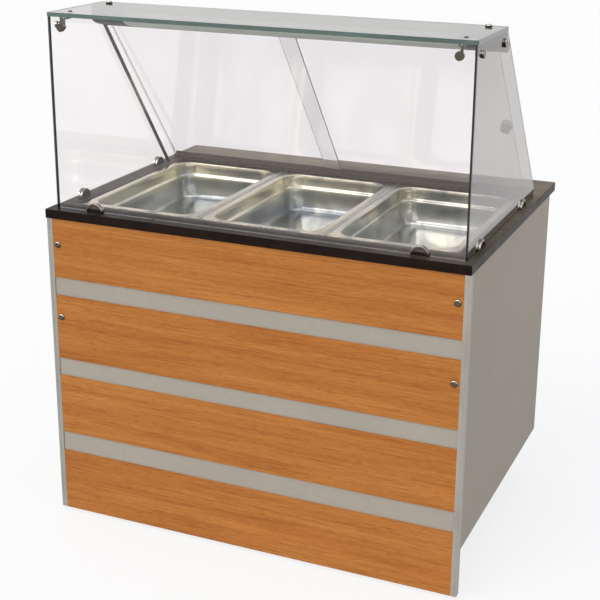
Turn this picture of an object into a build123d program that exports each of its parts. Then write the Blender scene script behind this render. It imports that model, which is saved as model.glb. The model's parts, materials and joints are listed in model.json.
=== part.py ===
from build123d import *
import math
import os

# Three-pan heated serving counter with a glass guard. Millimetres, +Z up.
# Origin on the floor under the middle; the customer side faces -Y, the operator side +Y.

# worktop and cabinet
TOP_W, TOP_D, TOP_T, TOP_Z = 1114.0, 815.0, 23.0, 848.0
FRONT_Y, REAR_Y = -TOP_D / 2, TOP_D / 2
CAB_W, BOARD_T, BOARD_GAP = 1112.0, 19.0, 10.0
CAB_FRONT, CAB_REAR = FRONT_Y + 5.0, REAR_Y - 58.0
PANEL_T, BASE_Z = 18.0, 130.0
CAB_TOP = TOP_Z - TOP_T
TRIM_W, SKIN_T = 15.0, 2.5
PLANK_BANDS = ((668.0, 825.0), (446.0, 620.0), (235.0, 398.0), (10.0, 181.0))
SCREW_X, SCREW_Z, SCREW_R = 527.0, (756.0, 560.5), 8.5

# well, pans and divider bars (gastronorm 1/1 pans, 530 x 325)
WELL_Y = -56.0
CUT_X, CUT_Y, REBATE = 503.0, 272.5, 3.0
LEDGE_T, WELL_IN_X, WELL_IN_Y, WELL_DEPTH = 1.5, 485.0, 254.0, 198.0
LEDGE_Z = TOP_Z - REBATE + LEDGE_T
PAN_L, PAN_W, PAN_PITCH, PAN_DEPTH, PAN_T = 530.0, 325.0, 337.0, 100.0, 1.2
PAN_SEAT = LEDGE_Z + 0.1
BAR_W, RIB_W = 30.0, 9.0

# glass guard
GLASS_T, SHELF_T = 6.0, 10.0
GLASS_X, GLASS_FRONT = 538.0, FRONT_Y + 29.0
SHELF_Z, SHELF_REAR = 1327.0, -129.5
SHELF_TOP = SHELF_Z + SHELF_T
SIDE_REAR_TOP, SIDE_REAR_LOW, SIDE_STEP_Z = -128.3, 229.5, 874.0
CONNECTOR = (500.0, FRONT_Y + 71.0, 1302.0)
ARM_R, DROP_X, POST_Y = 3.5, GLASS_X - GLASS_T - 6, GLASS_FRONT + GLASS_T + 9
STUD_R, STUD_HOLE = 4.0, 4.2
CLAMP_R, CLAMP_T, CLAMP_X = 22.0, 5.0, 427.0
CLAMP_Y_LEFT = (FRONT_Y + 148.0, FRONT_Y + 540.0)
CLAMP_Y_RIGHT = (FRONT_Y + 135.0, FRONT_Y + 518.0)

# sliding rear doors, described in the slope of the side panes
SLOPE = math.atan2(SIDE_REAR_LOW - SIDE_REAR_TOP, SHELF_Z - SIDE_STEP_Z)
FOOT_Y = SIDE_REAR_LOW + (SIDE_STEP_Z - TOP_Z) * math.tan(SLOPE)
DOOR_T, DOOR_LOW, DOOR_HIGH = 5.0, 18.0, 566.0
DOOR_LEFT, DOOR_RIGHT = (-528.0, -1.0), (-51.0, 506.0)
DOOR_OUT, DOOR_IN = -4.0, -13.0
KNOB_R, KNOB_SHANK, KNOB_S, KNOB_EDGE = 15.0, 4.0, 264.0, 20.0
RAIL_T, RAIL_DEPTH = 1.2, 17.5

# light housing under the shelf
LAMP_FRONT, LAMP_REAR, LAMP_TOP = -192.5, -124.5, SHELF_Z - 0.5
LAMP_MID, LAMP_END, LAMP_WALL, TUBE_Z = 443.0, 531.5, 1.5, 1308.0
DISC_Y, DISC_Z, STUD_X, STUD_Y = -152.5, 1302.0, 499.5, -157.5

CONDUIT_R = 4.8
CONDUIT_LOW, CONDUIT_HIGH = (-526.5, FRONT_Y + 583.0, TOP_Z + 4), (-526.5, -140.0, 1284.0)

# castors
CASTOR_X, CASTOR_FRONT, CASTOR_REAR = 420.0, -290.0, 255.0
WHEEL_R, WHEEL_W, CASTOR_TRAIL, AXLE_R = 50.0, 30.0, 32.0, 5.0

# controls on the operator side
FASCIA_Y, FASCIA_Z, FASCIA_T = CAB_REAR - 4.0, 640.0, 16.0
CONTROL_Z, KNOB_X, LAMP_X, SWITCH_X, GLAND_X = 745.0, 380.0, 300.0, (230.0, 170.0), 470.0
DRAIN_X, DRAIN_Y = -380.0, 110.0
ROCKER_Y, ROCKER_TILT = FASCIA_Y - 4.0, 8.0


def span(x0, x1, y0, y1, z0, z1):
    """A block between two corners."""
    size = (x1 - x0, y1 - y0, z1 - z0)
    return Pos((x0 + x1) / 2, (y0 + y1) / 2, (z0 + z1) / 2) * Box(*size)


def rod(start, end, radius):
    """A round bar between two points."""
    a, b = Vector(*start), Vector(*end)
    plane = Plane(origin=a, z_dir=(b - a).normalized())
    return extrude(plane * Circle(radius), (b - a).length)


def prism(points, x0, x1):
    """A profile of (y, z) points drawn out along X."""
    face = Plane.YZ.offset(x0) * make_face(Polyline(*points, close=True))
    return extrude(face, x1 - x0)


def slope_point(s, n):
    """(y, z) at s up the slope of the doors and n out from it."""
    y = FOOT_Y - s * math.sin(SLOPE) + n * math.cos(SLOPE)
    z = TOP_Z + s * math.cos(SLOPE) + n * math.sin(SLOPE)
    return (y, z)


def slope_block(x0, x1, s0, s1, n0, n1):
    corners = (slope_point(s0, n0), slope_point(s1, n0), slope_point(s1, n1), slope_point(s0, n1))
    return prism(corners, x0, x1)


def tray(half_x, half_y, radius, z):
    """A rounded rectangle lying flat at z."""
    return Pos(0, WELL_Y, z) * RectangleRounded(2 * half_x, 2 * half_y, radius)


def worktop():
    slab = span(-TOP_W / 2, TOP_W / 2, FRONT_Y, REAR_Y, CAB_TOP, TOP_Z)
    edges = slab.edges().filter_by(Axis.Z)
    slab = fillet(edges, 3.0)
    rims = slab.faces().sort_by(Axis.Z)[-1].edges()
    slab = fillet(rims, 2.0)
    slab -= extrude(tray(CUT_X, CUT_Y, 12.0, TOP_Z - REBATE), REBATE + 1)
    slab -= extrude(tray(CUT_X - 6, CUT_Y - 6, 12.0, CAB_TOP - 1), TOP_T + 2)
    x, y = CONDUIT_LOW[0], CONDUIT_LOW[1] + 2
    slab -= rod((x, y, CAB_TOP - 1), (x, y, TOP_Z + 1), 2.5)
    return slab


def front_board():
    return span(-CAB_W / 2, CAB_W / 2, CAB_FRONT + SKIN_T, CAB_FRONT + BOARD_T, BOARD_GAP, CAB_TOP)


def plank(low, high):
    edge = CAB_W / 2 - TRIM_W
    board = span(-edge, edge, CAB_FRONT, CAB_FRONT + SKIN_T, low, high)
    for x in (-SCREW_X, SCREW_X):
        for z in SCREW_Z:
            board -= rod((x, CAB_FRONT - 1, z), (x, CAB_FRONT + SKIN_T, z), 2.0)
    return board


def edge_trim(side):
    inner, outer = CAB_W / 2 - TRIM_W, CAB_W / 2
    lo, hi = sorted((side * inner, side * outer))
    strip = span(lo, hi, CAB_FRONT, CAB_FRONT + SKIN_T, BOARD_GAP, CAB_TOP)
    ridge = side * (outer - 5.0)
    return strip + span(ridge - 1, ridge + 1, CAB_FRONT - 0.8, CAB_FRONT, BOARD_GAP, CAB_TOP)


def plank_screw(x, z):
    """Domed cap on a short shank that goes through the plank."""
    dome = Pos(x, CAB_FRONT, z) * Rot(X=90) * Cylinder(SCREW_R, 4.0, align=(Align.CENTER, Align.CENTER, Align.MIN))
    dome = fillet(dome.faces().sort_by(Axis.Y)[0].edges(), 3.0)
    return dome + rod((x, CAB_FRONT, z), (x, CAB_FRONT + SKIN_T, z), 2.0)


def side_panel(side):
    outer = CAB_W / 2
    lo, hi = sorted((side * outer, side * (outer - PANEL_T)))
    return span(lo, hi, CAB_FRONT + BOARD_T, CAB_REAR, BASE_Z, CAB_TOP)


def base_board():
    half = CAB_W / 2 - PANEL_T
    return span(-half, half, CAB_FRONT + BOARD_T, CAB_REAR, BASE_Z, BASE_Z + PANEL_T)


def rear_fascia():
    half = CAB_W / 2 - PANEL_T
    board = span(-half, half, FASCIA_Y - FASCIA_T, FASCIA_Y, FASCIA_Z, CAB_TOP)
    back, front = FASCIA_Y - FASCIA_T - 1, FASCIA_Y + 1
    board -= rod((KNOB_X, back, CONTROL_Z), (KNOB_X, front, CONTROL_Z), 5.0)
    board -= rod((LAMP_X, back, CONTROL_Z), (LAMP_X, front, CONTROL_Z), 6.0)
    board -= rod((GLAND_X, back, CONTROL_Z - 60), (GLAND_X, front, CONTROL_Z - 60), 10.0)
    for x in SWITCH_X:
        board -= span(x - 11, x + 11, back, front, CONTROL_Z - 15, CONTROL_Z + 15)
    return board


def thermostat_body():
    back = FASCIA_Y - FASCIA_T
    box = span(KNOB_X - 22, KNOB_X + 22, back - 30, back, CONTROL_Z - 22, CONTROL_Z + 22)
    return box + rod((KNOB_X, back, CONTROL_Z), (KNOB_X, FASCIA_Y + 10, CONTROL_Z), 3.0)


def thermostat_knob():
    """Skirted knob with a pointer rib, on the thermostat's spindle."""
    seat = FASCIA_Y + 0.5
    knob = rod((KNOB_X, seat, CONTROL_Z), (KNOB_X, seat + 4, CONTROL_Z), 26.0)
    knob += rod((KNOB_X, seat + 4, CONTROL_Z), (KNOB_X, seat + 20, CONTROL_Z), 19.0)
    knob += span(KNOB_X - 2, KNOB_X + 2, seat + 4, seat + 22, CONTROL_Z - 5, CONTROL_Z + 24)
    return knob - rod((KNOB_X, seat - 1, CONTROL_Z), (KNOB_X, FASCIA_Y + 11, CONTROL_Z), 3.05)


def switch_bezel(x):
    frame = span(x - 11, x + 11, FASCIA_Y - 14, FASCIA_Y, CONTROL_Z - 15, CONTROL_Z + 15)
    frame += span(x - 14, x + 14, FASCIA_Y, FASCIA_Y + 2, CONTROL_Z - 18, CONTROL_Z + 18)
    return frame - span(x - 8, x + 8, FASCIA_Y - 11, FASCIA_Y + 3, CONTROL_Z - 12, CONTROL_Z + 12)


def switch_rocker(x):
    """Rocker with two tilted faces, pressed to off; it turns about a line along X."""
    points = ((-4, -5), (-4, 5), (6.5, 10.5), (4.5, 0), (6.5, -10.5))
    rocker = Rot(X=-ROCKER_TILT) * prism(points, -7.5, 7.5)
    return Pos(x, ROCKER_Y, CONTROL_Z) * rocker


def pilot_lamp():
    shank = rod((LAMP_X, FASCIA_Y - 22, CONTROL_Z), (LAMP_X, FASCIA_Y, CONTROL_Z), 6.0)
    lens = rod((LAMP_X, FASCIA_Y, CONTROL_Z), (LAMP_X, FASCIA_Y + 5, CONTROL_Z), 9.0)
    return shank + fillet(lens.faces().sort_by(Axis.Y)[-1].edges(), 3.0)


def cable_gland():
    z = CONTROL_Z - 60
    body = rod((GLAND_X, FASCIA_Y - 24, z), (GLAND_X, FASCIA_Y + 18, z), 10.0)
    nuts = Plane(origin=(GLAND_X, FASCIA_Y, z), z_dir=(0, 1, 0)) * RegularPolygon(14.0, 6)
    body += extrude(nuts, 6.0)
    locknut = Plane(origin=(GLAND_X, FASCIA_Y - FASCIA_T - 5, z), z_dir=(0, 1, 0)) * RegularPolygon(14.0, 6)
    body += extrude(locknut, 5.0)
    return body - rod((GLAND_X, FASCIA_Y - 25, z), (GLAND_X, FASCIA_Y + 19, z), 5.0)


def well():
    """Hanging tank: a flange in the worktop's rebate, straight walls and a floor with a drain."""
    floor_z = LEDGE_Z - WELL_DEPTH
    tank = extrude(tray(WELL_IN_X + LEDGE_T, WELL_IN_Y + LEDGE_T, 26.5, floor_z - LEDGE_T), WELL_DEPTH + LEDGE_T)
    tank += extrude(tray(CUT_X - 0.5, CUT_Y - 0.5, 11.5, LEDGE_Z - LEDGE_T), LEDGE_T)
    tank -= extrude(tray(WELL_IN_X, WELL_IN_Y, 25.0, floor_z), WELL_DEPTH + 1)
    tank -= rod((DRAIN_X, DRAIN_Y, floor_z - 3), (DRAIN_X, DRAIN_Y, floor_z + 1), 10.0)
    for x in (-60.0, 60.0):
        y = WELL_Y + WELL_IN_Y
        tank -= rod((x, y - 1, floor_z + 14), (x, y + 3, floor_z + 14), 4.25)
    return tank


def heating_element():
    """Hairpin tube just above the well floor, its two ends through the rear wall."""
    z = LEDGE_Z - WELL_DEPTH + 14
    rear, reach, turn = WELL_Y + WELL_IN_Y + 18, 400.0, 60.0
    near, far = WELL_Y + 140, WELL_Y - 150
    right = ((60.0, rear, z), (60.0, near, z), (reach, near, z), (reach, far, z))
    left = tuple((-x, y, zz) for x, y, zz in reversed(right))
    path = FilletPolyline(*right, *left, radius=turn)
    section = Plane(origin=right[0], z_dir=(0, -1, 0)) * Circle(4.2)
    return sweep(section, path)


def pan_shell(x, grow):
    """Outer or inner form of a pan's body, from the stacking shoulder down to the floor."""
    top = PAN_SEAT + PAN_T + (1 if grow else 0)
    levels = ((top, 147.0, 250.0, 45.0), (PAN_SEAT - 30, 146.0, 249.0, 45.0), (PAN_SEAT - 36, 141.0, 244.0, 42.0),
              (PAN_SEAT - 86, 137.0, 240.0, 38.0), (PAN_SEAT - PAN_DEPTH, 124.0, 227.0, 28.0))
    inset, lift = (PAN_T, PAN_T) if grow else (0.0, 0.0)
    body = None
    for (z1, a1, b1, r1), (z0, a0, b0, r0) in zip(levels, levels[1:]):
        low = z0 + (lift if z0 == levels[-1][0] else 0)
        upper = Pos(x, WELL_Y, z1) * RectangleRounded(2 * (a1 - inset), 2 * (b1 - inset), r1 - inset)
        lower = Pos(x, WELL_Y, low) * RectangleRounded(2 * (a0 - inset), 2 * (b0 - inset), r0 - inset)
        piece = loft([lower, upper])
        body = piece if body is None else body + piece
    return body


def pan(x):
    """Pan: flat flange, stacking shoulder, tapered walls and a turned bottom edge."""
    flange = extrude(Pos(x, WELL_Y, PAN_SEAT) * RectangleRounded(PAN_W, PAN_L, 18.0), PAN_T)
    return flange + pan_shell(x, False) - pan_shell(x, True)


def divider_bar(x):
    """Inverted T between two pans, hung on the ledge by its rib, with a small stop at the front."""
    half = WELL_IN_Y - 0.5
    wing = span(x - BAR_W / 2, x + BAR_W / 2, WELL_Y - half, WELL_Y + half, LEDGE_Z - 1.2, LEDGE_Z)
    rib = span(x - RIB_W / 2, x + RIB_W / 2, WELL_Y - CUT_Y + 1.5, WELL_Y + CUT_Y - 1.5, LEDGE_Z, LEDGE_Z + 1.3)
    rib += span(x - RIB_W / 2, x + RIB_W / 2, WELL_Y - half, WELL_Y + half, LEDGE_Z - 16, LEDGE_Z)
    stop = span(x - 8.5, x + 8.5, WELL_Y - CUT_Y + 1, WELL_Y - PAN_L / 2 - 0.8, LEDGE_Z, LEDGE_Z + 4.5)
    stop = fillet(stop.faces().sort_by(Axis.Z)[-1].edges(), 2.0)
    return wing + rib + stop


def drain_pipe():
    top = LEDGE_Z - WELL_DEPTH - LEDGE_T
    pipe = rod((DRAIN_X, DRAIN_Y, top - 50), (DRAIN_X, DRAIN_Y, top), 13.0)
    pipe += rod((DRAIN_X, DRAIN_Y, top - 6), (DRAIN_X, DRAIN_Y, top), 20.0)
    return pipe - rod((DRAIN_X, DRAIN_Y, top - 51), (DRAIN_X, DRAIN_Y, top + 1), 10.0)


def drain_valve():
    top = LEDGE_Z - WELL_DEPTH - LEDGE_T - 50
    body = rod((DRAIN_X, DRAIN_Y, top - 55), (DRAIN_X, DRAIN_Y, top), 13.0)
    body += rod((DRAIN_X, DRAIN_Y, top - 44), (DRAIN_X, DRAIN_Y, top - 8), 19.0)
    stem_z = top - 26
    body += rod((DRAIN_X, DRAIN_Y, stem_z), (DRAIN_X, DRAIN_Y + 26, stem_z), 9.0)
    body += rod((DRAIN_X, DRAIN_Y + 26, stem_z), (DRAIN_X, DRAIN_Y + 36, stem_z), 4.0)
    return body - rod((DRAIN_X, DRAIN_Y, top - 56), (DRAIN_X, DRAIN_Y, top + 1), 10.0)


def drain_lever():
    stem_z = LEDGE_Z - WELL_DEPTH - LEDGE_T - 76
    y0, y1 = DRAIN_Y + 27, DRAIN_Y + 32
    arm = span(DRAIN_X - 7, DRAIN_X + 7, y0, y1, stem_z - 90, stem_z + 8)
    arm += rod((DRAIN_X, y0, stem_z), (DRAIN_X, y1, stem_z), 10.0)
    arm = arm + span(DRAIN_X - 8, DRAIN_X + 8, y0 - 2, y1 + 2, stem_z - 92, stem_z - 40)
    return arm - rod((DRAIN_X, y0 - 1, stem_z), (DRAIN_X, y1 + 1, stem_z), 4.05)


def stud_holes(pane):
    """Drill the holes that the corner connectors and the light housing's discs go through."""
    cx, cy, cz = CONNECTOR
    for side in (-1, 1):
        pane -= rod((side * cx, GLASS_FRONT - 1, cz), (side * cx, GLASS_FRONT + GLASS_T + 1, cz), STUD_HOLE)
        outer, inner = side * (GLASS_X + 1), side * (GLASS_X - GLASS_T - 1)
        pane -= rod((inner, cy, cz), (outer, cy, cz), STUD_HOLE)
        pane -= rod((inner, DISC_Y, DISC_Z), (outer, DISC_Y, DISC_Z), STUD_HOLE)
        low, high = SHELF_Z - 1, SHELF_TOP + 1
        pane -= rod((side * cx, cy, low), (side * cx, cy, high), STUD_HOLE)
        pane -= rod((side * STUD_X, STUD_Y, low), (side * STUD_X, STUD_Y, high), STUD_HOLE)
    return pane


def glass_front():
    return stud_holes(span(-GLASS_X, GLASS_X, GLASS_FRONT, GLASS_FRONT + GLASS_T, TOP_Z, SHELF_Z))


def glass_top():
    sheet = span(-GLASS_X - 2, GLASS_X + 2, GLASS_FRONT - 2, SHELF_REAR, SHELF_Z, SHELF_TOP)
    return stud_holes(fillet(sheet.edges().filter_by(Axis.Z), 4.0))


def glass_side(side):
    """Side pane: square to the front, sloping at the rear, with a short upright foot."""
    front = GLASS_FRONT + GLASS_T
    profile = ((front, TOP_Z), (front, SHELF_Z), (SIDE_REAR_TOP, SHELF_Z), (SIDE_REAR_LOW, SIDE_STEP_Z),
               (SIDE_REAR_LOW, TOP_Z))
    lo, hi = sorted((side * GLASS_X, side * (GLASS_X - GLASS_T)))
    return stud_holes(prism(profile, lo, hi))


def corner_connector(side):
    """Bracket with a disc on the front pane, a post up to an arm under the shelf, a stud through the shelf and a
    drop post to a disc on the side pane."""
    x, cy, cz = side * CONNECTOR[0], CONNECTOR[1], CONNECTOR[2]
    drop, outer, arm_z = side * DROP_X, side * GLASS_X, SHELF_Z - 5
    path = ((x, POST_Y, cz), (x, POST_Y, arm_z), (x, cy, arm_z), (drop, cy, arm_z), (drop, cy, cz))
    fitting = Pos(*path[0]) * Sphere(ARM_R + 1.5) + Pos(*path[-1]) * Sphere(ARM_R + 1.5)
    for start, end in zip(path, path[1:]):
        fitting += rod(start, end, ARM_R) + Pos(*end) * Sphere(ARM_R)
    inside, inner = GLASS_FRONT + GLASS_T, outer - side * GLASS_T
    fitting += rod(path[0], (x, GLASS_FRONT, cz), STUD_R) + rod(path[-1], (outer, cy, cz), STUD_R)
    fitting += rod((x, GLASS_FRONT, cz), (x, GLASS_FRONT - 5, cz), 10.5)
    fitting += rod((x, inside, cz), (x, inside + 3, cz), 8.0)
    fitting += rod((outer, cy, cz), (outer + side * 5, cy, cz), 9.0)
    fitting += rod((inner, cy, cz), (inner - side * 3, cy, cz), 7.5)
    fitting += rod((x, cy, arm_z), (x, cy, SHELF_TOP), STUD_R) + rod((x, cy, SHELF_Z - 3), (x, cy, SHELF_Z), 8.0)
    return fitting + rod((x, cy, SHELF_TOP), (x, cy, SHELF_TOP + 1.5), 5.0)


def half_moon():
    """One clamp in its own frame: two half discs either side of a pane that lies in the XZ plane."""
    cheeks = None
    for y0 in (-GLASS_T / 2 - CLAMP_T, GLASS_T / 2):
        disc = extrude(Plane(origin=(0, y0, 0), z_dir=(0, 1, 0)) * Circle(CLAMP_R), CLAMP_T)
        disc -= span(-CLAMP_R - 1, CLAMP_R + 1, y0 - 1, y0 + CLAMP_T + 1, -CLAMP_R - 1, 0)
        face = y0 if y0 < 0 else y0 + CLAMP_T
        step = -1.5 if y0 < 0 else 1.5
        disc -= rod((0, face - step, 0), (0, face + step, 0), CLAMP_R - 6)
        cheeks = disc if cheeks is None else cheeks + disc
    return cheeks


def glass_clamps():
    clamps = []
    mid_y, mid_x = GLASS_FRONT + GLASS_T / 2, GLASS_X - GLASS_T / 2
    for x in (-CLAMP_X, CLAMP_X):
        clamps.append(Pos(x, mid_y, TOP_Z) * half_moon())
    for side, rows in ((-1, CLAMP_Y_LEFT), (1, CLAMP_Y_RIGHT)):
        for y in rows:
            clamps.append(Pos(side * mid_x, y, TOP_Z) * Rot(Z=90) * half_moon())
    return [s for c in clamps for s in c.solids()]


def door(x0, x1, n):
    return slope_block(x0, x1, DOOR_LOW, DOOR_HIGH, n - DOOR_T / 2, n + DOOR_T / 2)


def door_knob(x, n):
    """Fat round knob on the operator's face of a door, its shank through the pane to a thin washer."""
    def disc(low, high, radius):
        return rod((x, *slope_point(KNOB_S, n + low)), (x, *slope_point(KNOB_S, n + high)), radius)

    face = DOOR_T / 2
    grip = fillet(disc(face + 3, face + 23, KNOB_R).edges().filter_by(GeomType.CIRCLE), 7.0)
    washer = disc(-face - 1.5, -face, KNOB_R - 2)
    return grip + washer + disc(-face, face, KNOB_SHANK) + disc(face, face + 3, KNOB_R - 6)


def door_rail(s_web, s_lip, extra):
    """Double channel along the slope's foot or head; s_lip is where its three lips end."""
    low, high = sorted((s_web, s_web + math.copysign(RAIL_T, s_web - s_lip)))
    half = GLASS_X - GLASS_T - 0.5
    rail = slope_block(-half, half, low, high, -RAIL_DEPTH, 0.5)
    lo, hi = sorted((s_web, s_lip))
    for n in (-RAIL_DEPTH, (DOOR_IN + DOOR_OUT) / 2 - RAIL_T / 2, 0.5 - RAIL_T):
        rail += slope_block(-half, half, lo, hi, n, n + RAIL_T)
    return rail + prism(extra, -half, half)


def door_rail_bottom():
    web = 16.0
    front, back = slope_point(web - RAIL_T, -RAIL_DEPTH), slope_point(web - RAIL_T, 0.5)
    return door_rail(web, web + 11, ((front[0], TOP_Z), front, back, (back[0], TOP_Z)))


def door_rail_top():
    web = DOOR_HIGH + 6
    front, back = slope_point(web + RAIL_T, -RAIL_DEPTH), slope_point(web + RAIL_T, 0.5)
    wall = LAMP_REAR
    return door_rail(web, web - 14, (front, back, (wall, back[1]), (wall, front[1])))


def lamp_profile(inset):
    """(y, z) outline of the light housing; its lower face falls towards the rear."""
    f, r, t = LAMP_FRONT + inset, LAMP_REAR - inset, LAMP_TOP - inset
    return ((f, t), (f, 1304 + inset), (f + 7, 1294 + inset), (f + 22, 1287 + inset), (r, 1276 + inset), (r, t))


def lamp_housing():
    """Folded housing between the end caps, open along its curved lower front for the diffuser."""
    shell = prism(lamp_profile(0), -LAMP_MID, LAMP_MID)
    shell -= prism(lamp_profile(LAMP_WALL), -LAMP_MID - 1, LAMP_MID + 1)
    shell -= prism(lamp_window(4.0), -LAMP_MID + 4, LAMP_MID - 4)
    return shell.solids().sort_by(SortBy.VOLUME)[-1]


def lamp_window(reach):
    """Region of the housing's wall that the diffuser fills."""
    f = LAMP_FRONT
    return ((f - reach, 1313), (f + LAMP_WALL, 1313), (f + LAMP_WALL, 1304), (f + 8, 1295.5),
            (f + 22, 1288.5), (LAMP_REAR - 12, 1280), (LAMP_REAR - 12, 1276 - reach), (f - reach, 1276 - reach))


def lamp_diffuser():
    strip = prism(lamp_profile(0), -LAMP_MID + 4.1, LAMP_MID - 4.1)
    strip -= prism(lamp_profile(LAMP_WALL), -LAMP_MID - 1, LAMP_MID + 1)
    strip &= prism(lamp_window(4.0), -LAMP_MID, LAMP_MID)
    return strip


def lamp_end(side):
    """End cap with the housing's outline, hollow towards the middle."""
    lo, hi = sorted((side * LAMP_MID, side * LAMP_END))
    cap = prism(lamp_profile(0), lo, hi)
    a, b = sorted((side * (LAMP_MID - 1), side * (LAMP_END - 3)))
    cap -= prism(lamp_profile(LAMP_WALL), a, b)
    low, high = LAMP_TOP - 3, LAMP_TOP + 1
    cap -= rod((side * STUD_X, STUD_Y, low), (side * STUD_X, STUD_Y, high), STUD_HOLE)
    if side < 0:
        cap -= rod(CONDUIT_LOW, CONDUIT_HIGH, CONDUIT_R)
    return cap - rod((side * (LAMP_END - 4), DISC_Y, DISC_Z), (side * (LAMP_END + 1), DISC_Y, DISC_Z), STUD_HOLE)


def lamp_tube():
    y, z = (LAMP_FRONT + LAMP_REAR) / 2, TUBE_Z
    return rod((-LAMP_MID + 34, y, z), (LAMP_MID - 34, y, z), 8.0)


def lamp_socket(side):
    y, z = (LAMP_FRONT + LAMP_REAR) / 2, TUBE_Z
    x0, x1 = sorted((side * (LAMP_MID - 34), side * (LAMP_MID - 14)))
    return span(x0, x1, y - 11, y + 11, z - 12, LAMP_TOP - LAMP_WALL)


def shelf_studs(side):
    """Domed disc on the shelf with a stud down into the light housing's end cap."""
    x, top = side * STUD_X, SHELF_TOP
    dome = rod((x, STUD_Y, top), (x, STUD_Y, top + 6), 8.5)
    dome = fillet(dome.faces().sort_by(Axis.Z)[-1].edges(), 3.0)
    return dome + rod((x, STUD_Y, top), (x, STUD_Y, SHELF_Z - 8), STUD_R)


def side_discs(side):
    """Disc on the outside of a side pane with a stud into the light housing's end cap."""
    x = side * GLASS_X
    disc = rod((x, DISC_Y, DISC_Z), (x + side * 5, DISC_Y, DISC_Z), 10.5)
    return disc + rod((x, DISC_Y, DISC_Z), (side * (LAMP_END - 10), DISC_Y, DISC_Z), STUD_R)


def lamp_conduit():
    """Slim tube that carries the light's wires up the left pane, with a foot on the worktop."""
    x, y = CONDUIT_LOW[0], CONDUIT_LOW[1] + 2
    return rod(CONDUIT_LOW, CONDUIT_HIGH, CONDUIT_R) + rod((x, y, TOP_Z), (x, y, TOP_Z + 5), CONDUIT_R + 0.6)


def castor_plate(x, y):
    plate = span(x - 48, x + 48, y - 40, y + 40, BASE_Z - 3, BASE_Z)
    for dx in (-38, 38):
        for dy in (-30, 30):
            plate -= rod((x + dx, y + dy, BASE_Z - 4), (x + dx, y + dy, BASE_Z + 1), 4.2)
            plate += rod((x + dx, y + dy, BASE_Z - 3), (x + dx, y + dy, BASE_Z - 7), 6.5)
    race = rod((x, y, BASE_Z - 3), (x, y, BASE_Z - 9), 26.0)
    return plate + race


def castor_fork(x, y):
    """Swivelling fork with its axle; the wheel trails towards the rear."""
    crown_z, axle = BASE_Z - 9.3, (x, y + CASTOR_TRAIL, WHEEL_R)
    fork = rod((x, y, crown_z), (x, y, crown_z - 5), 30.0)
    for side in (-1, 1):
        x0, x1 = sorted((x + side * (WHEEL_W / 2 + 3), x + side * (WHEEL_W / 2 + 6)))
        leg = ((y - 24, crown_z - 4), (y + 24, crown_z - 4), (y + CASTOR_TRAIL + 12, WHEEL_R - 10),
               (y + CASTOR_TRAIL - 12, WHEEL_R - 10))
        fork += prism(leg, x0, x1)
    reach = WHEEL_W / 2 + 10
    return fork + rod((axle[0] - reach, axle[1], axle[2]), (axle[0] + reach, axle[1], axle[2]), AXLE_R)


def castor_wheel(x, y):
    half, hub = WHEEL_W / 2, WHEEL_W / 2 + 2
    cy = y + CASTOR_TRAIL
    wheel = rod((x - half, cy, WHEEL_R), (x + half, cy, WHEEL_R), WHEEL_R)
    wheel = fillet(wheel.edges().filter_by(GeomType.CIRCLE), 4.0)
    wheel += rod((x - hub, cy, WHEEL_R), (x + hub, cy, WHEEL_R), 14.0)
    return wheel - rod((x - hub - 1, cy, WHEEL_R), (x + hub + 1, cy, WHEEL_R), AXLE_R + 0.05)


def grouped(*shapes):
    return Compound(children=[s for shape in shapes for s in shape.solids()])


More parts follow.
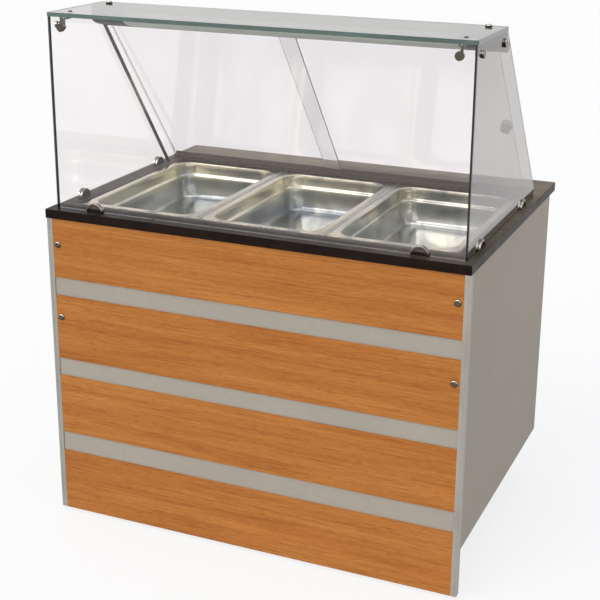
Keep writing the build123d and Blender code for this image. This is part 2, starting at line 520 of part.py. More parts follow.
def parts():
    nodes = {"worktop": worktop(), "front_board": front_board(), "base_board": base_board()}
    for i, (low, high) in enumerate(PLANK_BANDS, 1):
        nodes[f"front_plank_{i}"] = plank(low, high)
    nodes["edge_trims"] = grouped(edge_trim(-1), edge_trim(1))
    nodes["plank_screws"] = grouped(*(plank_screw(x, z) for x in (-SCREW_X, SCREW_X) for z in SCREW_Z))
    nodes["side_panel_left"], nodes["side_panel_right"] = side_panel(-1), side_panel(1)
    nodes["rear_fascia"] = rear_fascia()
    nodes["thermostat_body"], nodes["thermostat_knob"] = thermostat_body(), thermostat_knob()
    nodes["switch_bezels"] = grouped(*(switch_bezel(x) for x in SWITCH_X))
    nodes["heat_switch_rocker"], nodes["light_switch_rocker"] = (switch_rocker(x) for x in SWITCH_X)
    nodes["pilot_lamp"], nodes["cable_gland"] = pilot_lamp(), cable_gland()
    nodes["well"], nodes["heating_element"] = well(), heating_element()
    nodes["drain_pipe"], nodes["drain_valve"], nodes["drain_lever"] = drain_pipe(), drain_valve(), drain_lever()
    for name, place in (("left", -1), ("middle", 0), ("right", 1)):
        nodes[f"pan_{name}"] = pan(place * PAN_PITCH)
    nodes["divider_bars"] = grouped(*(divider_bar(side * PAN_PITCH / 2) for side in (-1, 1)))
    nodes["glass_front"], nodes["glass_top"] = glass_front(), glass_top()
    nodes["glass_left"], nodes["glass_right"] = glass_side(-1), glass_side(1)
    nodes["corner_connector_left"], nodes["corner_connector_right"] = corner_connector(-1), corner_connector(1)
    nodes["glass_clamps"] = Compound(children=glass_clamps())
    knob_x = DOOR_RIGHT[1] - KNOB_EDGE
    bore = rod((knob_x, *slope_point(KNOB_S, DOOR_OUT - DOOR_T)), (knob_x, *slope_point(KNOB_S, 0)), KNOB_SHANK)
    nodes["door_left"], nodes["door_right"] = door(*DOOR_LEFT, DOOR_IN), door(*DOOR_RIGHT, DOOR_OUT) - bore
    nodes["door_knob"] = door_knob(knob_x, DOOR_OUT)
    nodes["door_rail_bottom"], nodes["door_rail_top"] = door_rail_bottom(), door_rail_top()
    nodes["lamp_housing"], nodes["lamp_diffuser"] = lamp_housing(), lamp_diffuser()
    nodes["lamp_end_left"], nodes["lamp_end_right"] = lamp_end(-1), lamp_end(1)
    nodes["lamp_tube"] = lamp_tube()
    nodes["lamp_sockets"] = grouped(lamp_socket(-1), lamp_socket(1))
    nodes["shelf_studs"] = grouped(shelf_studs(-1), shelf_studs(1))
    nodes["side_discs"] = grouped(side_discs(-1), side_discs(1))
    nodes["lamp_conduit"] = lamp_conduit()
    corners = {"front_left": (-CASTOR_X, CASTOR_FRONT), "front_right": (CASTOR_X, CASTOR_FRONT),
               "rear_left": (-CASTOR_X, CASTOR_REAR), "rear_right": (CASTOR_X, CASTOR_REAR)}
    nodes["castor_plates"] = grouped(*(castor_plate(*at) for at in corners.values()))
    for name, at in corners.items():
        nodes[f"castor_fork_{name}"] = castor_fork(*at)
        nodes[f"castor_wheel_{name}"] = castor_wheel(*at)
    return nodes


os.makedirs("parts", exist_ok=True)
for name, shape in parts().items():
    export_step(shape, f"parts/{name}.step")
    print(name, len(shape.solids()), round(sum(s.volume for s in shape.solids())))
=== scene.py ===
import json
import math

import bmesh
import bpy
from mathutils import Matrix, Vector


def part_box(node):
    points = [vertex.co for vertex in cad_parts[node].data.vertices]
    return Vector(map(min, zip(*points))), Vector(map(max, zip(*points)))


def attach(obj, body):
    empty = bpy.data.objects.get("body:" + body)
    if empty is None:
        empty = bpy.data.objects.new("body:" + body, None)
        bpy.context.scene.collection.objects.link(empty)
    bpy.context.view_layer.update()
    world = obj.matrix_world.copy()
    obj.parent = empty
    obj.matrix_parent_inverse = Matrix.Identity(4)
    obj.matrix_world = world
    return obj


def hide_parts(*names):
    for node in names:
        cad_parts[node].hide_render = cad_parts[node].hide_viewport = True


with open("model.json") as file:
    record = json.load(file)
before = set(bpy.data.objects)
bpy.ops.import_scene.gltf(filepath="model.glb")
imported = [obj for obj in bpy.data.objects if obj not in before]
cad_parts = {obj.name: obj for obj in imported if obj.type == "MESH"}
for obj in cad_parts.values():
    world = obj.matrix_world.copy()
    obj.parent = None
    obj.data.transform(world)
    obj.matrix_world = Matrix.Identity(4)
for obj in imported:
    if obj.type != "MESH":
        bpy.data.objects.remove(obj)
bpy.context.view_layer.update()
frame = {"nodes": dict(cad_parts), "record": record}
BODIES = frame["record"]["behaviour"]["bodies"]
NODE_BODY = {node: body for body, nodes in BODIES.items() for node in nodes}
NODE_SLOT = {row["node"]: row["material_slot"] for row in frame["record"]["subparts"]}
MM = 0.001


FILL = 0.62
FLOOR_GLOW = 0.8
FLOOR_REACH = 60.0
BEVEL_FROM = 28
FLAT_WITHIN = 0.4
SOFT_BELOW = 50.0


# camera: from the customer's side, to the right and a little above

def make_camera():
    data = bpy.data.cameras.new("camera")
    data.sensor_width, data.lens = 36.0, 77.125
    data.shift_x, data.shift_y = -0.01099, -0.07268
    data.clip_end = 200.0
    camera = bpy.data.objects.new("camera", data)
    right = Vector((0.91887, 0.39449, 0.00753))
    up = Vector((-0.12695, 0.27753, 0.95229))
    back = right.cross(up)
    turn = Matrix((right, up, back)).transposed().to_4x4()
    camera.matrix_world = Matrix.Translation((1.27499, -3.01826, 1.72721)) @ turn
    bpy.context.scene.collection.objects.link(camera)
    bpy.context.scene.camera = camera


# materials

class Shader:
    """A Principled material whose node tree is built up in a few words."""

    def __init__(self, name, **constants):
        self.mat = bpy.data.materials.new(name)
        self.mat.use_nodes = True
        self.tree = self.mat.node_tree
        self.bsdf = self.tree.nodes["Principled BSDF"]
        for key, value in constants.items():
            self.bsdf.inputs[key.replace("_", " ")].default_value = value
        self.coords = self.add("TexCoord").outputs["Object"]

    def add(self, kind, inputs=(), **settings):
        node = self.tree.nodes.new("ShaderNode" + kind)
        for key, value in settings.items():
            setattr(node, key, value)
        for key, value in dict(inputs).items():
            if isinstance(value, bpy.types.NodeSocket):
                self.tree.links.new(value, node.inputs[key])
            else:
                node.inputs[key].default_value = value
        return node

    def link(self, socket, target):
        self.tree.links.new(socket, self.bsdf.inputs[target])

    def noise(self, scale, stretch=(1, 1, 1), detail=4.0, rough=0.55, warp=0.0):
        place = self.add("Mapping", {"Vector": self.coords, "Scale": stretch})
        node = self.add("TexNoise", {"Vector": place.outputs[0], "Scale": scale, "Detail": detail,
                                     "Roughness": rough, "Distortion": warp})
        return node.outputs[0]

    def ramp(self, value, *stops):
        node = self.add("ValToRGB", {"Fac": value})
        ramp = node.color_ramp
        while len(ramp.elements) < len(stops):
            ramp.elements.new(0.5)
        for element, (place, colour) in zip(ramp.elements, stops):
            element.position, element.color = place, (*colour, 1)
        return node.outputs[0]

    def mix(self, fac, a, b, blend="MIX"):
        node = self.add("Mix", data_type="RGBA", blend_type=blend)
        for index, value in ((0, fac), (6, a), (7, b)):
            if isinstance(value, bpy.types.NodeSocket):
                self.tree.links.new(value, node.inputs[index])
            elif index == 0:
                node.inputs[0].default_value = value
            else:
                node.inputs[index].default_value = (*value, 1)
        return node.outputs[2]

    def scaled(self, value, low, high, start=0.3, end=0.7):
        node = self.add("MapRange", {"Value": value, "From Min": start, "From Max": end,
                                     "To Min": low, "To Max": high})
        return node.outputs[0]

    def clouded(self, colour, noise, low):
        """The colour, dimmed to low where the noise is low."""
        return self.mix(1.0, colour, self.ramp(noise, (0.3, (low,) * 3), (0.7, (1.0,) * 3)), "MULTIPLY")

    def bump(self, height, strength, distance=0.001):
        node = self.add("Bump", {"Height": height, "Strength": strength, "Distance": distance})
        self.link(node.outputs[0], "Normal")


def shade(colour, factor):
    return tuple(min(1.0, c * factor) for c in colour)


def plain(name, colour, rough=(0.4, 0.5), spread=0.12, grain=90.0, stretch=(1, 1, 1), bump=0.05,
          **constants):
    """Moulded or painted surface: slow colour drift, fine mottling, uneven gloss, a little bump."""
    s = Shader(name, **constants)
    slow, fine = s.noise(4.0, stretch, 2.0), s.noise(grain, stretch, 5.0)
    drift = s.ramp(slow, (0.3, shade(colour, 1 - spread / 2)), (0.7, shade(colour, 1 + spread / 2)))
    speck = s.ramp(fine, (0.35, (1 - spread,) * 3), (0.65, (1.0, 1.0, 1.0)))
    s.link(s.mix(1.0, drift, speck, "MULTIPLY"), "Base Color")
    s.link(s.scaled(fine, *rough), "Roughness")
    s.bump(fine, bump, 0.0004)
    return s.mat


def brushed(name, colour, rough=(0.2, 0.32), along=(1, 1, 1), grain=700.0, depth=0.04, spread=0.16):
    """Rolled or brushed metal: hair lines along one way, cloudy gloss, faint wipe marks."""
    s = Shader(name, Metallic=1.0)
    hair, cloud = s.noise(grain, along, 3.0), s.noise(7.0, (1, 1, 1), 3.0)
    wipe = s.noise(26.0, along, 4.0, 0.7, 0.6)
    body = s.ramp(cloud, (0.3, shade(colour, 1 - spread)), (0.7, shade(colour, 1 + spread)))
    lines = s.ramp(hair, (0.3, (0.86,) * 3), (0.7, (1.0, 1.0, 1.0)))
    s.link(s.mix(1.0, body, lines, "MULTIPLY"), "Base Color")
    s.link(s.scaled(wipe, *rough), "Roughness")
    s.bump(hair, depth, 0.0003)
    return s.mat


def pressed_steel():
    """Bright drawn sheet of the pans: faint draw marks in the gloss, and painted reflection in the colour:
    a bright cream band high on the walls, a cool painted cast in the bowl, darker at the rim, and cloudy
    painted reflection blotches.
    """
    s = Shader("pan_steel", Metallic=1.0)
    cloud, draw = s.noise(7.0, (1.6, 0.6, 1.0), 2.0, 0.5, 0.4), s.noise(30.0, (1.0, 0.12, 1.0), 3.0)
    height = s.add("SeparateXYZ", {"Vector": s.coords}).outputs[2]
    depth = s.scaled(height, 0.0, 1.0, 0.76, 0.846)
    # painted reflection by height in the pan: cool and dark in the bowl, bright cream high on the walls,
    # darker at the rim
    tone = s.ramp(depth, (0.0, (0.5, 0.52, 0.52)), (0.4, (0.6, 0.6, 0.55)), (0.8, (0.85, 0.82, 0.68)),
                  (0.94, (0.74, 0.7, 0.58)), (1.0, (0.58, 0.54, 0.44)))
    # painted reflection blotches: the cloud noise dims the colour to a cool grey in patches
    marks = s.ramp(cloud, (0.38, (0.52, 0.56, 0.6)), (0.55, (1.0, 0.99, 0.95)))
    s.link(s.mix(1.0, tone, marks, "MULTIPLY"), "Base Color")
    s.link(s.scaled(draw, 0.13, 0.2), "Roughness")
    return s.mat


def wood_laminate():
    """Satin wood-print laminate with fine level streaks and slow bands, as on a quarter-sawn veneer."""
    s = Shader("wood_laminate", Specular_IOR_Level=0.22)
    band = s.noise(3.0, (0.5, 1, 9.0), 2.0, 0.5, 0.3)
    streak = s.noise(9.0, (0.6, 1, 22.0), 4.0, 0.65, 0.2)
    pore = s.noise(55.0, (0.6, 1, 13.0), 4.0, 0.8)
    base = s.ramp(band, (0.3, (0.43, 0.148, 0.026)), (0.5, (0.475, 0.176, 0.034)),
                  (0.7, (0.53, 0.21, 0.045)))
    lines = s.ramp(streak, (0.3, (0.74, 0.66, 0.55)), (0.45, (0.93, 0.9, 0.86)), (0.6, (1.04, 1.04, 1.04)))
    dots = s.ramp(pore, (0.34, (0.6, 0.48, 0.36)), (0.5, (1.0, 1.0, 1.0)), (0.66, (1.12, 1.14, 1.18)))
    s.link(s.mix(0.8, s.mix(1.0, base, lines, "MULTIPLY"), dots, "MULTIPLY"), "Base Color")
    s.link(s.scaled(streak, 0.36, 0.5), "Roughness")
    s.bump(pore, 0.06, 0.0003)
    return s.mat


def dark_worktop():
    """Brown laminate: a faint long figure, painted shade that darkens it towards the customer, and
    near-black painted shade on its upright rim.
    """
    s = Shader("dark_worktop", Specular_IOR_Level=0.06)
    figure = s.noise(7.0, (1.0, 9.0, 1.0), 5.0, 0.65, 0.8)
    cloud, speck = s.noise(16.0, (1, 1, 1), 4.0, 0.6, 1.0), s.noise(380.0, (1, 1, 1), 2.0)
    face = s.ramp(figure, (0.3, (0.085, 0.066, 0.04)), (0.5, (0.125, 0.1, 0.062)),
                  (0.72, (0.18, 0.148, 0.095)))
    # painted shade: the colour darkens towards the customer's side of the top
    across = s.add("VectorMath", {0: s.coords, 1: (0.35, 1.0, 0.0)}, operation="DOT_PRODUCT")
    painted_shade_front = s.ramp(s.scaled(across.outputs["Value"], 0.0, 1.0, -0.4, 0.2), (0.0, (0.13, 0.13, 0.15)),
                  (1.0, (1.0, 1.0, 1.0)))
    face = s.mix(1.0, face, painted_shade_front, "MULTIPLY")
    # painted shade: faces that don't look up, such as the front rim, take a near-black colour
    rim = s.ramp(cloud, (0.3, (0.009, 0.005, 0.003)), (0.7, (0.02, 0.012, 0.008)))
    up = s.add("SeparateXYZ", {"Vector": s.add("NewGeometry").outputs["Normal"]}).outputs[2]
    body = s.mix(s.scaled(up, 0.0, 1.0, 0.55, 0.95), rim, face)
    dots = s.ramp(speck, (0.3, (0.8, 0.8, 0.8)), (0.6, (1.0, 1.0, 1.0)), (0.72, (1.5, 1.45, 1.35)))
    s.link(s.mix(1.0, body, dots, "MULTIPLY"), "Base Color")
    s.link(s.scaled(cloud, 0.3, 0.42), "Roughness")
    s.bump(speck, 0.04, 0.0003)
    return s.mat


def lamp_cap_metal():
    """Painted cap of the light housing: khaki end plate, and painted shade that makes the returns a darker
    green-grey.
    """
    s = Shader("lamp_cap", Specular_IOR_Level=0.3)
    mottle = s.noise(90.0, (1, 1, 1), 4.0)
    # painted shade: faces that don't look along X take a dark green-grey in place of the khaki
    side = s.add("SeparateXYZ", {"Vector": s.add("NewGeometry").outputs["Normal"]}).outputs[0]
    facing = s.add("Math", {0: side}, operation="ABSOLUTE").outputs[0]
    body = s.mix(s.scaled(facing, 0.0, 1.0, 0.5, 0.9), (0.045, 0.06, 0.045), (0.3, 0.235, 0.12))
    s.link(s.clouded(body, mottle, 0.82), "Base Color")
    s.link(s.scaled(mottle, 0.4, 0.55), "Roughness")
    s.bump(mottle, 0.06, 0.0003)
    return s.mat


def chrome_painted_reflection():
    """Plated metal with painted reflection: painted dark reflection on upright faces, and a bright painted
    highlight where it rolls over to face up.
    """
    s = Shader("chrome_painted_reflection", Metallic=1.0)
    up = s.add("SeparateXYZ", {"Vector": s.add("NewGeometry").outputs["Normal"]}).outputs[2]
    cloud = s.noise(120.0, (1, 1, 1), 3.0)
    # painted reflection: colour by how far the face turns up, dark when upright, a bright painted
    # highlight at the roll-over, dimmer on flat tops
    tone = s.ramp(s.scaled(up, 0.0, 1.0, -0.2, 0.9), (0.0, (0.05, 0.04, 0.032)), (0.3, (0.16, 0.14, 0.12)),
                  (0.62, (0.75, 0.73, 0.69)), (1.0, (0.3, 0.28, 0.25)))
    s.link(s.clouded(tone, cloud, 0.85), "Base Color")
    s.link(s.scaled(cloud, 0.08, 0.18), "Roughness")
    return s.mat


def conduit_steel():
    """Satin tube with painted light: dull painted shade at its ends and a brighter painted highlight
    half-way up.
    """
    s = Shader("conduit_steel", Metallic=1.0)
    height = s.add("SeparateXYZ", {"Vector": s.coords}).outputs[2]
    tone = s.scaled(height, 0.0, 1.0, 0.852, 1.284)
    stain = s.noise(30.0, (1, 1, 0.4), 4.0)
    # painted light by height: dark at both ends, a bright painted band half-way up
    colour = s.ramp(tone, (0.0, (0.1, 0.085, 0.07)), (0.36, (0.13, 0.115, 0.095)),
                    (0.42, (0.5, 0.46, 0.38)), (0.6, (0.5, 0.46, 0.38)),
                    (0.68, (0.17, 0.14, 0.12)), (1.0, (0.17, 0.145, 0.125)))
    s.link(s.clouded(colour, stain, 0.8), "Base Color")
    s.link(s.scaled(stain, 0.3, 0.45), "Roughness")
    s.bump(stain, 0.04, 0.0003)
    return s.mat


def clear_glass(name, tint):
    """Coated float glass with a slow drift of tint; lamps shine through it."""
    s = Shader(name, Transmission_Weight=1.0, IOR=1.45, Roughness=0.0, Specular_IOR_Level=0.2)
    drift = s.noise(3.0, (1, 1, 1), 2.0)
    s.link(s.ramp(drift, (0.3, shade(tint, 0.98)), (0.7, shade(tint, 1.01))), "Base Color")
    thin = s.add("BsdfTransparent", {"Color": (*shade(tint, 1.03), 1)})
    path = s.add("LightPath")
    both = s.add("MixShader", {"Fac": path.outputs["Is Shadow Ray"]})
    output = s.tree.nodes["Material Output"]
    s.tree.links.new(s.bsdf.outputs[0], both.inputs[1])
    s.tree.links.new(thin.outputs[0], both.inputs[2])
    s.tree.links.new(both.outputs[0], output.inputs["Surface"])
    return s.mat


def glass_edge(name, dark, light):
    """Ground and polished edge of a pane, where the glass's own green gathers."""
    s = Shader(name, Coat_Weight=0.6, Coat_Roughness=0.08)
    run, fine = s.noise(3.0, (1, 1, 1), 3.0, 0.6, 0.8), s.noise(160.0, (1, 1, 1), 3.0)
    body = s.ramp(run, (0.35, dark), (0.65, light))
    s.link(s.clouded(body, fine, 0.85), "Base Color")
    s.link(s.scaled(fine, 0.12, 0.3), "Roughness")
    s.bump(fine, 0.03, 0.0003)
    return s.mat


def make_materials():
    return {
        "wood_laminate": wood_laminate(),
        "dark_worktop": dark_worktop(),
        "grey_laminate": plain("grey_laminate", (0.395, 0.36, 0.305), (0.42, 0.52), 0.05, 60.0, bump=0.03,
                               Specular_IOR_Level=0.3),
        "side_laminate": plain("side_laminate", (0.3, 0.258, 0.2), (0.42, 0.52), 0.06, 60.0, bump=0.03,
                               Specular_IOR_Level=0.3),
        "aluminium": brushed("aluminium", (0.44, 0.42, 0.385), (0.34, 0.46), (20, 20, 0.3), 60.0,
                             0.02, 0.08),
        "stainless": brushed("stainless", (0.42, 0.41, 0.37), (0.22, 0.32), (12, 0.25, 12), 60.0, 0.01),
        "pan_steel": pressed_steel(),
        "lamp_cap": lamp_cap_metal(),
        "chrome": brushed("chrome", (0.27, 0.255, 0.235), (0.06, 0.13), (1, 1, 1), 120.0, 0.01, 0.1),
        "chrome_painted_reflection": chrome_painted_reflection(),
        "conduit_steel": conduit_steel(),
        "rail_plastic": plain("rail_plastic", (0.11, 0.1, 0.08), (0.4, 0.55), 0.15, 140.0),
        "rail_brown": plain("rail_brown", (0.17, 0.135, 0.09), (0.4, 0.55), 0.15, 140.0),
        "black_plastic": plain("black_plastic", (0.03, 0.03, 0.033), (0.35, 0.5), 0.2, 500.0, bump=0.12),
        "amber_lens": plain("amber_lens", (0.75, 0.2, 0.02), (0.1, 0.2), 0.1, 60.0, Coat_Weight=0.5),
        "beige_plastic": plain("beige_plastic", (0.52, 0.45, 0.33), (0.25, 0.38), 0.1, 120.0),
        "lamp_metal": plain("lamp_metal", (0.27, 0.235, 0.17), (0.4, 0.55), 0.14, 200.0, bump=0.08),
        "diffuser": plain("diffuser", (0.66, 0.74, 0.66), (0.35, 0.5), 0.08, 80.0, (0.3, 1, 1)),
        "lamp_glass": plain("lamp_glass", (0.86, 0.86, 0.84), (0.25, 0.35), 0.06, 50.0),
        "zinc": brushed("zinc", (0.48, 0.48, 0.47), (0.34, 0.5), (1, 1, 1), 60.0, 0.08, 0.22),
        "brass": brushed("brass", (0.6, 0.43, 0.18), (0.24, 0.4), (1, 1, 1), 120.0, 0.05),
        "tread": plain("tread", (0.06, 0.06, 0.065), (0.6, 0.8), 0.25, 260.0, bump=0.2),
        "element": brushed("element", (0.2, 0.17, 0.15), (0.35, 0.5), (1, 1, 1), 60.0, 0.1, 0.3),
        "glass_main": clear_glass("glass_main", (0.985, 0.965, 0.97)),
        "glass_left": clear_glass("glass_left", (0.97, 0.96, 0.96)),
        "glass_shelf": clear_glass("glass_shelf", (0.48, 0.465, 0.455)),
        "glass_flank": clear_glass("glass_flank", (0.46, 0.435, 0.425)),
        "glass_door": clear_glass("glass_door", (0.91, 0.895, 0.9)),
        "edge_green": glass_edge("edge_green", (0.055, 0.095, 0.08), (0.085, 0.15, 0.125)),
        "edge_dark": glass_edge("edge_dark", (0.016, 0.026, 0.022), (0.035, 0.05, 0.042)),
        "edge_grey": glass_edge("edge_grey", (0.16, 0.16, 0.14), (0.26, 0.26, 0.23)),
    }


# mesh helpers

def new_piece(name, mesh, body, slot, *materials):
    piece = bpy.data.objects.new(name, mesh)
    bpy.context.scene.collection.objects.link(piece)
    for material in materials:
        mesh.materials.append(MATERIALS[material])
    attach(piece, body)
    return piece


def smooth(mesh, angle=30.0):
    for face in mesh.polygons:
        face.use_smooth = True
    mesh.set_sharp_from_angle(angle=math.radians(angle))


def finished(bm, name, angle=30.0):
    bmesh.ops.recalc_face_normals(bm, faces=bm.faces)
    mesh = bpy.data.meshes.new(name)
    bm.to_mesh(mesh)
    bm.free()
    smooth(mesh, angle)
    return mesh


def refined(node, width, material=None, segments=2, flat=False):
    """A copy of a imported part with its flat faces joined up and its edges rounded."""
    source = frame["nodes"][node]
    bm = bmesh.new()
    bm.from_mesh(source.data)
    bmesh.ops.remove_doubles(bm, verts=bm.verts, dist=2e-6)
    bmesh.ops.dissolve_limit(bm, angle_limit=math.radians(FLAT_WITHIN), verts=bm.verts, edges=bm.edges)
    mesh = bpy.data.meshes.new(node + "_fine")
    bm.to_mesh(mesh)
    bm.free()
    mesh.materials.clear()
    slot = NODE_SLOT[node]
    piece = new_piece(node + "_fine", mesh, NODE_BODY[node], slot, material or slot)
    if width:
        bevel = piece.modifiers.new("round", "BEVEL")
        bevel.width, bevel.segments, bevel.limit_method = width * MM, segments, "ANGLE"
        bevel.angle_limit, bevel.use_clamp_overlap = math.radians(BEVEL_FROM), True
        bevel.miter_outer = "MITER_ARC"
        settle(piece)
    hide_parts(node)
    if flat:
        for face in piece.data.polygons:
            face.use_smooth = False
        return piece
    smooth(piece.data, SOFT_BELOW)
    even = piece.modifiers.new("even", "WEIGHTED_NORMAL")
    even.keep_sharp, even.weight = True, 60
    settle(piece)
    return piece


def settle(piece):
    """Make the piece's modifiers part of its mesh."""
    bpy.context.view_layer.update()
    shown = piece.evaluated_get(bpy.context.evaluated_depsgraph_get())
    piece.data = bpy.data.meshes.new_from_object(shown)
    piece.modifiers.clear()


def lathe(bm, profile, place, steps=48):
    """Turn a closed (radius, height) profile about the Z axis of place."""
    rings = []
    for k in range(steps):
        turn = place @ Matrix.Rotation(2 * math.pi * k / steps, 4, "Z")
        rings.append([bm.verts.new(turn @ Vector((r * MM, 0, h * MM))) for r, h in profile])
    for a, b in zip(rings, rings[1:] + rings[:1]):
        for i in range(len(profile)):
            j = (i + 1) % len(profile)
            bm.faces.new((a[i], a[j], b[j], b[i]))


def block(bm, low, high, place=Matrix.Identity(4), soft=0.0):
    """A box with rounded edges, corners in millimetres."""
    centre = (Vector(low) + Vector(high)) / 2 * MM
    size = (Vector(high) - Vector(low)) * MM
    shape = place @ Matrix.Translation(centre) @ Matrix.Diagonal((*size, 1))
    made = bmesh.ops.create_cube(bm, size=1.0, matrix=shape)
    if soft:
        edges = {e for v in made["verts"] for e in v.link_edges}
        bmesh.ops.bevel(bm, geom=list(edges), offset=soft * MM, segments=2, profile=0.5, affect="EDGES")


def arc(cx, cy, radius, start, end, steps):
    for k in range(steps + 1):
        a = math.radians(start + (end - start) * k / steps)
        yield (cx + radius * math.cos(a), cy + radius * math.sin(a))


# stage and light

def stage():
    world = bpy.data.worlds.new("studio")
    bpy.context.scene.world = world
    world.use_nodes = True
    tree = world.node_tree
    tree.nodes.clear()
    add = tree.nodes.new
    path = add("ShaderNodeLightPath")
    fill, back = add("ShaderNodeBackground"), add("ShaderNodeBackground")
    fill.inputs["Color"].default_value = (0.96, 0.98, 1.0, 1)
    fill.inputs["Strength"].default_value = FILL
    both, out = add("ShaderNodeMixShader"), add("ShaderNodeOutputWorld")
    tree.links.new(seen_ray(tree, path), both.inputs[0])
    tree.links.new(fill.outputs[0], both.inputs[1])
    tree.links.new(back.outputs[0], both.inputs[2])
    tree.links.new(both.outputs[0], out.inputs["Surface"])
    back.inputs["Color"].default_value = (1, 1, 1, 1)
    floor_mesh = bpy.data.meshes.new("floor")
    far = FLOOR_REACH
    corners = [(-far, -far, 0), (far, -far, 0), (far, far, 0), (-far, far, 0)]
    floor_mesh.from_pydata(corners, [], [(0, 1, 2, 3)])
    floor = bpy.data.objects.new("floor", floor_mesh)
    bpy.context.scene.collection.objects.link(floor)
    floor_mesh.materials.append(floor_material())


def seen_ray(tree, path):
    """1 for a ray from the camera, off something glossy or through glass."""
    total = path.outputs["Is Camera Ray"]
    for name in ("Is Glossy Ray", "Is Transmission Ray"):
        node = tree.nodes.new("ShaderNodeMath")
        node.operation, node.use_clamp = "ADD", True
        tree.links.new(total, node.inputs[0])
        tree.links.new(path.outputs[name], node.inputs[1])
        total = node.outputs[0]
    return total


def floor_material():
    mat = bpy.data.materials.new("floor")
    mat.use_nodes = True
    tree = mat.node_tree
    tree.nodes.clear()
    add = tree.nodes.new
    matte, light = add("ShaderNodeBsdfDiffuse"), add("ShaderNodeEmission")
    both = add("ShaderNodeMixShader")
    matte.inputs["Color"].default_value = (0.86, 0.86, 0.86, 1)
    light.inputs["Color"].default_value = (1, 1, 1, 1)
    share = add("ShaderNodeMath")
    share.operation = "MULTIPLY"
    share.inputs[1].default_value = FLOOR_GLOW
    tree.links.new(seen_ray(tree, add("ShaderNodeLightPath")), share.inputs[0])
    tree.links.new(share.outputs[0], both.inputs[0])
    tree.links.new(matte.outputs[0], both.inputs[1])
    tree.links.new(light.outputs[0], both.inputs[2])
    tree.links.new(both.outputs[0], add("ShaderNodeOutputMaterial").inputs["Surface"])
    return mat


def sun(name, towards, strength, angle, colour=(1, 1, 1)):
    data = bpy.data.lights.new(name, "SUN")
    data.energy, data.angle, data.color = strength, math.radians(angle), colour
    lamp = bpy.data.objects.new(name, data)
    lamp.rotation_euler = Vector(towards).to_track_quat("-Z", "Y").to_euler()
    bpy.context.scene.collection.objects.link(lamp)


# pans

def ring(bm, x, y, half_x, half_y, radius, z, steps=8):
    verts = []
    for cx, cy, start in ((1, 1, 0), (-1, 1, 90), (-1, -1, 180), (1, -1, 270)):
        mid_x, mid_y = x + cx * (half_x - radius), y + cy * (half_y - radius)
        for px, py in arc(mid_x, mid_y, radius, start, start + 90, steps):
            verts.append(bm.verts.new((px * MM, py * MM, z * MM)))
    return verts


def pan_profile(seat, depth):
    """(inset from the flange's edge, z, corner radius) rows, from the rim's lower edge to the floor."""
    top, gauge = seat + 1.2, 1.2
    rows = [(0.0, seat + 0.05, 18.0), (0.0, seat + 0.7, 18.0), (0.35, top - 0.1, 17.7), (1.2, top, 17.2)]
    rows += [(8.0, top, 22.0), (14.3, top - 0.05, 40.0)]
    for px, pz in arc(14.3, top - 3.4, 3.35, 90, 12, 6):
        rows.append((px, pz, 43.0))
    rows += [(17.9, seat - 12, 43.5), (18.3, seat - 28.5, 43.5), (18.9, seat - 31, 43.0),
             (20.6, seat - 33.3, 42.5), (22.2, seat - 35, 41.5), (22.9, seat - 37.5, 41.0),
             (23.6, seat - 50, 40.0), (26.2, seat - 84, 37.5)]
    bowl = 15.0
    for px, pz in arc(26.7 + bowl, seat - depth + gauge + bowl, bowl, 188, 270, 7):
        rows.append((px, pz, 40.0 - (px - 26.7) * 0.75))
    return rows


def make_pan(node):
    low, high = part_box(node)
    x, y = (low.x + high.x) / 2 / MM, (low.y + high.y) / 2 / MM
    half_x, half_y, depth = (high.x - low.x) / 2 / MM, (high.y - low.y) / 2 / MM, 100.0
    seat = high.z / MM - 1.2
    bm = bmesh.new()
    loops = [ring(bm, x, y, half_x - i, half_y - i, r, z) for i, z, r in pan_profile(seat, depth)]
    for inset in (60.0, 90.0, 110.0):
        z = seat - depth + 1.25 + (inset - 60) * 0.006
        loops.append(ring(bm, x, y, half_x - inset, half_y - inset, 20.0, z))
    outer = [ring(bm, x, y, half_x - i, half_y - i, r, z)
             for i, z, r in ((14.0, seat + 0.03, 43.0), (15.6, seat - 1.5, 44.0),
                             (16.7, seat - 29.5, 44.5), (21.3, seat - 36.5, 42.0),
                             (25.2, seat - 85.0, 38.5), (29.0, seat - 94.5, 34.0),
                             (38.4, seat - depth + 0.02, 28.5))]
    for chain in (loops, [loops[0]] + outer):
        for a, b in zip(chain, chain[1:]):
            for i in range(len(a)):
                j = (i + 1) % len(a)
                bm.faces.new((a[i], a[j], b[j], b[i]))
    bm.faces.new(loops[-1])
    bm.faces.new(outer[-1])
    name = node + "_steel"
    piece = new_piece(name, finished(bm, name, 50), NODE_BODY[node], "stainless", "pan_steel")
    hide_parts(node)


# glass

def make_pane(node, clear, across, front_edge, other_edge):
    """A pane with arrissed edges; faces that don't look across the sheet take an edge's colour."""
    piece = refined(node, 0.4, clear, 1, flat=True)
    for edge in (front_edge, other_edge):
        piece.data.materials.append(MATERIALS[edge])
    across = Vector(across).normalized()
    for face in piece.data.polygons:
        if abs(face.normal.dot(across)) < 0.5:
            face.material_index = 1 if face.normal.y < -0.5 else 2


def slope_normal():
    low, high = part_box("door_right")
    rise, run = high.z - low.z, high.y - low.y
    slope = math.atan2(run, rise)
    return Vector((0, math.cos(slope), math.sin(slope)))


# castor wheels

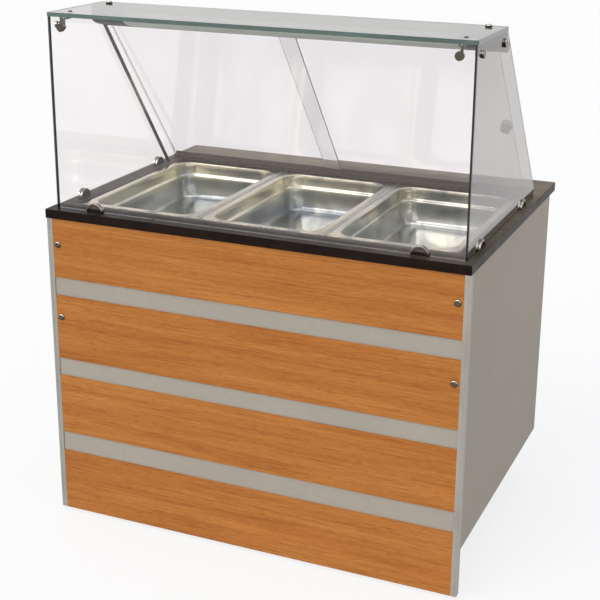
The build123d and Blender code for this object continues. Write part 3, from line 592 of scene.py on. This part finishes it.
def make_wheel(node):
    low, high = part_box(node)
    mid = (low + high) / 2
    place = Matrix.Translation(mid) @ Matrix.Rotation(math.pi / 2, 4, "Y")
    radius, half = (high.z - low.z) / 2 / MM, 15.0
    bm = bmesh.new()
    tyre = [(34.0, -half + 2), (38.0, -half), (radius - 5, -half)]
    tyre += [p for p in arc(radius - 5, -half + 5, 5, 270, 360, 5)]
    tyre += [p for p in arc(radius - 5, half - 5, 5, 0, 90, 5)]
    tyre += [(38.0, half), (34.0, half - 2)]
    lathe(bm, tyre, place, 64)
    piece = new_piece(node + "_tyre", finished(bm, node + "_tyre"), NODE_BODY[node], "tread", "tread")
    bm = bmesh.new()
    hub = [(5.3, -half - 2), (12.5, -half - 2), (14.0, -half - 0.5), (14.0, -4), (16.0, -3),
           (29.0, -3), (31.0, -half + 4), (34.2, -half + 3), (34.2, half - 3), (31.0, half - 4),
           (29.0, 3), (16.0, 3), (14.0, 4), (14.0, half + 0.5), (12.5, half + 2), (5.3, half + 2)]
    lathe(bm, hub, place, 64)
    for k in range(6):
        spin = place @ Matrix.Rotation(math.radians(60 * k), 4, "Z")
        block(bm, (14.2, -1.6, -half + 4), (30.5, 1.6, half - 4), spin, 0.5)
    core = new_piece(node + "_hub", finished(bm, node + "_hub"), NODE_BODY[node], "tread", "black_plastic")
    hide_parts(node)
    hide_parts(node)


# controls

def make_thermostat_knob():
    low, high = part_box("thermostat_knob")
    centre = Vector(((low.x + high.x) / 2, low.y, low.z + 26 * MM))
    place = Matrix.Translation(centre) @ Matrix.Rotation(-math.pi / 2, 4, "X")
    bm = bmesh.new()
    skirt = [(3.2, 0.2), (24.8, 0.2), (25.8, 1.2), (25.6, 2.2), (22.5, 4.2), (20.0, 4.6), (19.0, 5.5),
             (18.2, 18.4), (17.2, 19.7), (15.0, 20.0), (3.2, 20.0)]
    lathe(bm, skirt, place, 72)
    for k in range(24):
        spin = place @ Matrix.Rotation(math.radians(15 * k), 4, "Z")
        block(bm, (17.8, -0.8, 6.0), (19.3, 0.8, 18.6), spin, 0.3)
    block(bm, (-1.8, -6, 19.6), (1.8, 20, 21.8), place, 0.5)
    name = "thermostat_knob_fine"
    knob = new_piece(name, finished(bm, name), "thermostat_knob", "black_plastic", "black_plastic")
    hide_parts("thermostat_knob")
    marks = bmesh.new()
    for k in range(11):
        spin = place @ Matrix.Rotation(math.radians(27 * k), 4, "Z")
        block(marks, (-0.35, 20.8, 3.7), (0.35, 24.2, 4.4), spin, 0.1)
    name = "thermostat_marks"
    new_piece(name, finished(marks, name), "thermostat_knob", "black_plastic", "lamp_glass")


def make_lamp_tube():
    low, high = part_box("lamp_tube")
    mid, half = (low + high) / 2, (high.x - low.x) / 2 / MM
    place = Matrix.Translation(mid) @ Matrix.Rotation(math.pi / 2, 4, "Y")
    bm = bmesh.new()
    lathe(bm, [(0.2, -half + 12), (7.4, -half + 12), (7.4, half - 12), (0.2, half - 12)], place, 32)
    name = "lamp_tube_glass"
    tube = new_piece(name, finished(bm, name), "cabinet", "lamp_glass", "lamp_glass")
    bm = bmesh.new()
    for a, b in ((-half, -half + 12), (half - 12, half)):
        lathe(bm, [(0.2, a), (6.8, a), (8.0, a + 1.2), (8.0, b - 1.2), (7.5, b), (0.2, b)], place, 32)
    name = "lamp_tube_caps"
    caps = new_piece(name, finished(bm, name), "cabinet", "lamp_glass", "aluminium")
    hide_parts("lamp_tube")
    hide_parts("lamp_tube")


# build

make_camera()
MATERIALS = make_materials()
stage()
sun("key", (0.5, 0.95, -0.9), 1.0, 40, (1.0, 0.97, 0.93))
sun("top", (0.05, 0.2, -1.0), 0.8, 50)

for pan_node in ("pan_left", "pan_middle", "pan_right"):
    make_pan(pan_node)
tilt = slope_normal()
make_pane("glass_front", "glass_main", (0, 1, 0), "edge_green", "edge_dark")
make_pane("glass_top", "glass_shelf", (0, 0, 1), "edge_green", "edge_dark")
make_pane("glass_left", "glass_left", (1, 0, 0), "edge_dark", "edge_dark")
make_pane("glass_right", "glass_flank", (1, 0, 0), "edge_dark", "edge_dark")
make_pane("door_left", "glass_door", tilt, "edge_grey", "edge_grey")
make_pane("door_right", "glass_door", tilt, "edge_grey", "edge_grey")

ROUNDING = {
    "worktop": 0.8, "front_board": 0.4, "base_board": 0.5, "edge_trims": 0.3, "plank_screws": 0.4,
    "side_panel_left": 0.6, "side_panel_right": 0.6, "rear_fascia": 0.5, "thermostat_body": 0.8,
    "switch_bezels": 0.6, "heat_switch_rocker": 0.6, "light_switch_rocker": 0.6, "pilot_lamp": 0.3,
    "cable_gland": 0.8, "well": 0.5, "drain_pipe": 0.6, "drain_valve": 1.0,
    "drain_lever": 1.2, "divider_bars": 0.3, "corner_connector_left": 0.8, "corner_connector_right": 0.8,
    "glass_clamps": 1.2, "door_knob": 0.6, "door_rail_bottom": 0.2,
    "door_rail_top": 0.2, "lamp_housing": 0.3, "lamp_diffuser": 0.3, "lamp_end_left": 0.5,
    "lamp_end_right": 0.5, "lamp_sockets": 0.6, "shelf_studs": 0.4, "side_discs": 0.8,
    "lamp_conduit": 0.4, "castor_plates": 0.6,
}
for index in range(1, 5):
    ROUNDING[f"front_plank_{index}"] = 0.35
for corner in ("front_left", "front_right", "rear_left", "rear_right"):
    ROUNDING[f"castor_fork_{corner}"] = 0.6
    make_wheel(f"castor_wheel_{corner}")
SPECIAL = {
    "lamp_conduit": "conduit_steel", "lamp_end_left": "lamp_cap", "lamp_end_right": "lamp_cap",
    "side_panel_left": "side_laminate", "side_panel_right": "side_laminate",
    "door_rail_bottom": "rail_brown",
    "side_discs": "chrome_painted_reflection", "shelf_studs": "chrome_painted_reflection", "plank_screws": "chrome_painted_reflection",
    "corner_connector_left": "chrome_painted_reflection", "corner_connector_right": "chrome_painted_reflection",
    "glass_clamps": "chrome_painted_reflection",
}
for node, width in ROUNDING.items():
    refined(node, width, SPECIAL.get(node))
refined("heating_element", 0, "element")
make_thermostat_knob()
make_lamp_tube()

bpy.context.scene.view_settings.view_transform = "Standard"
bpy.context.view_layer.update()
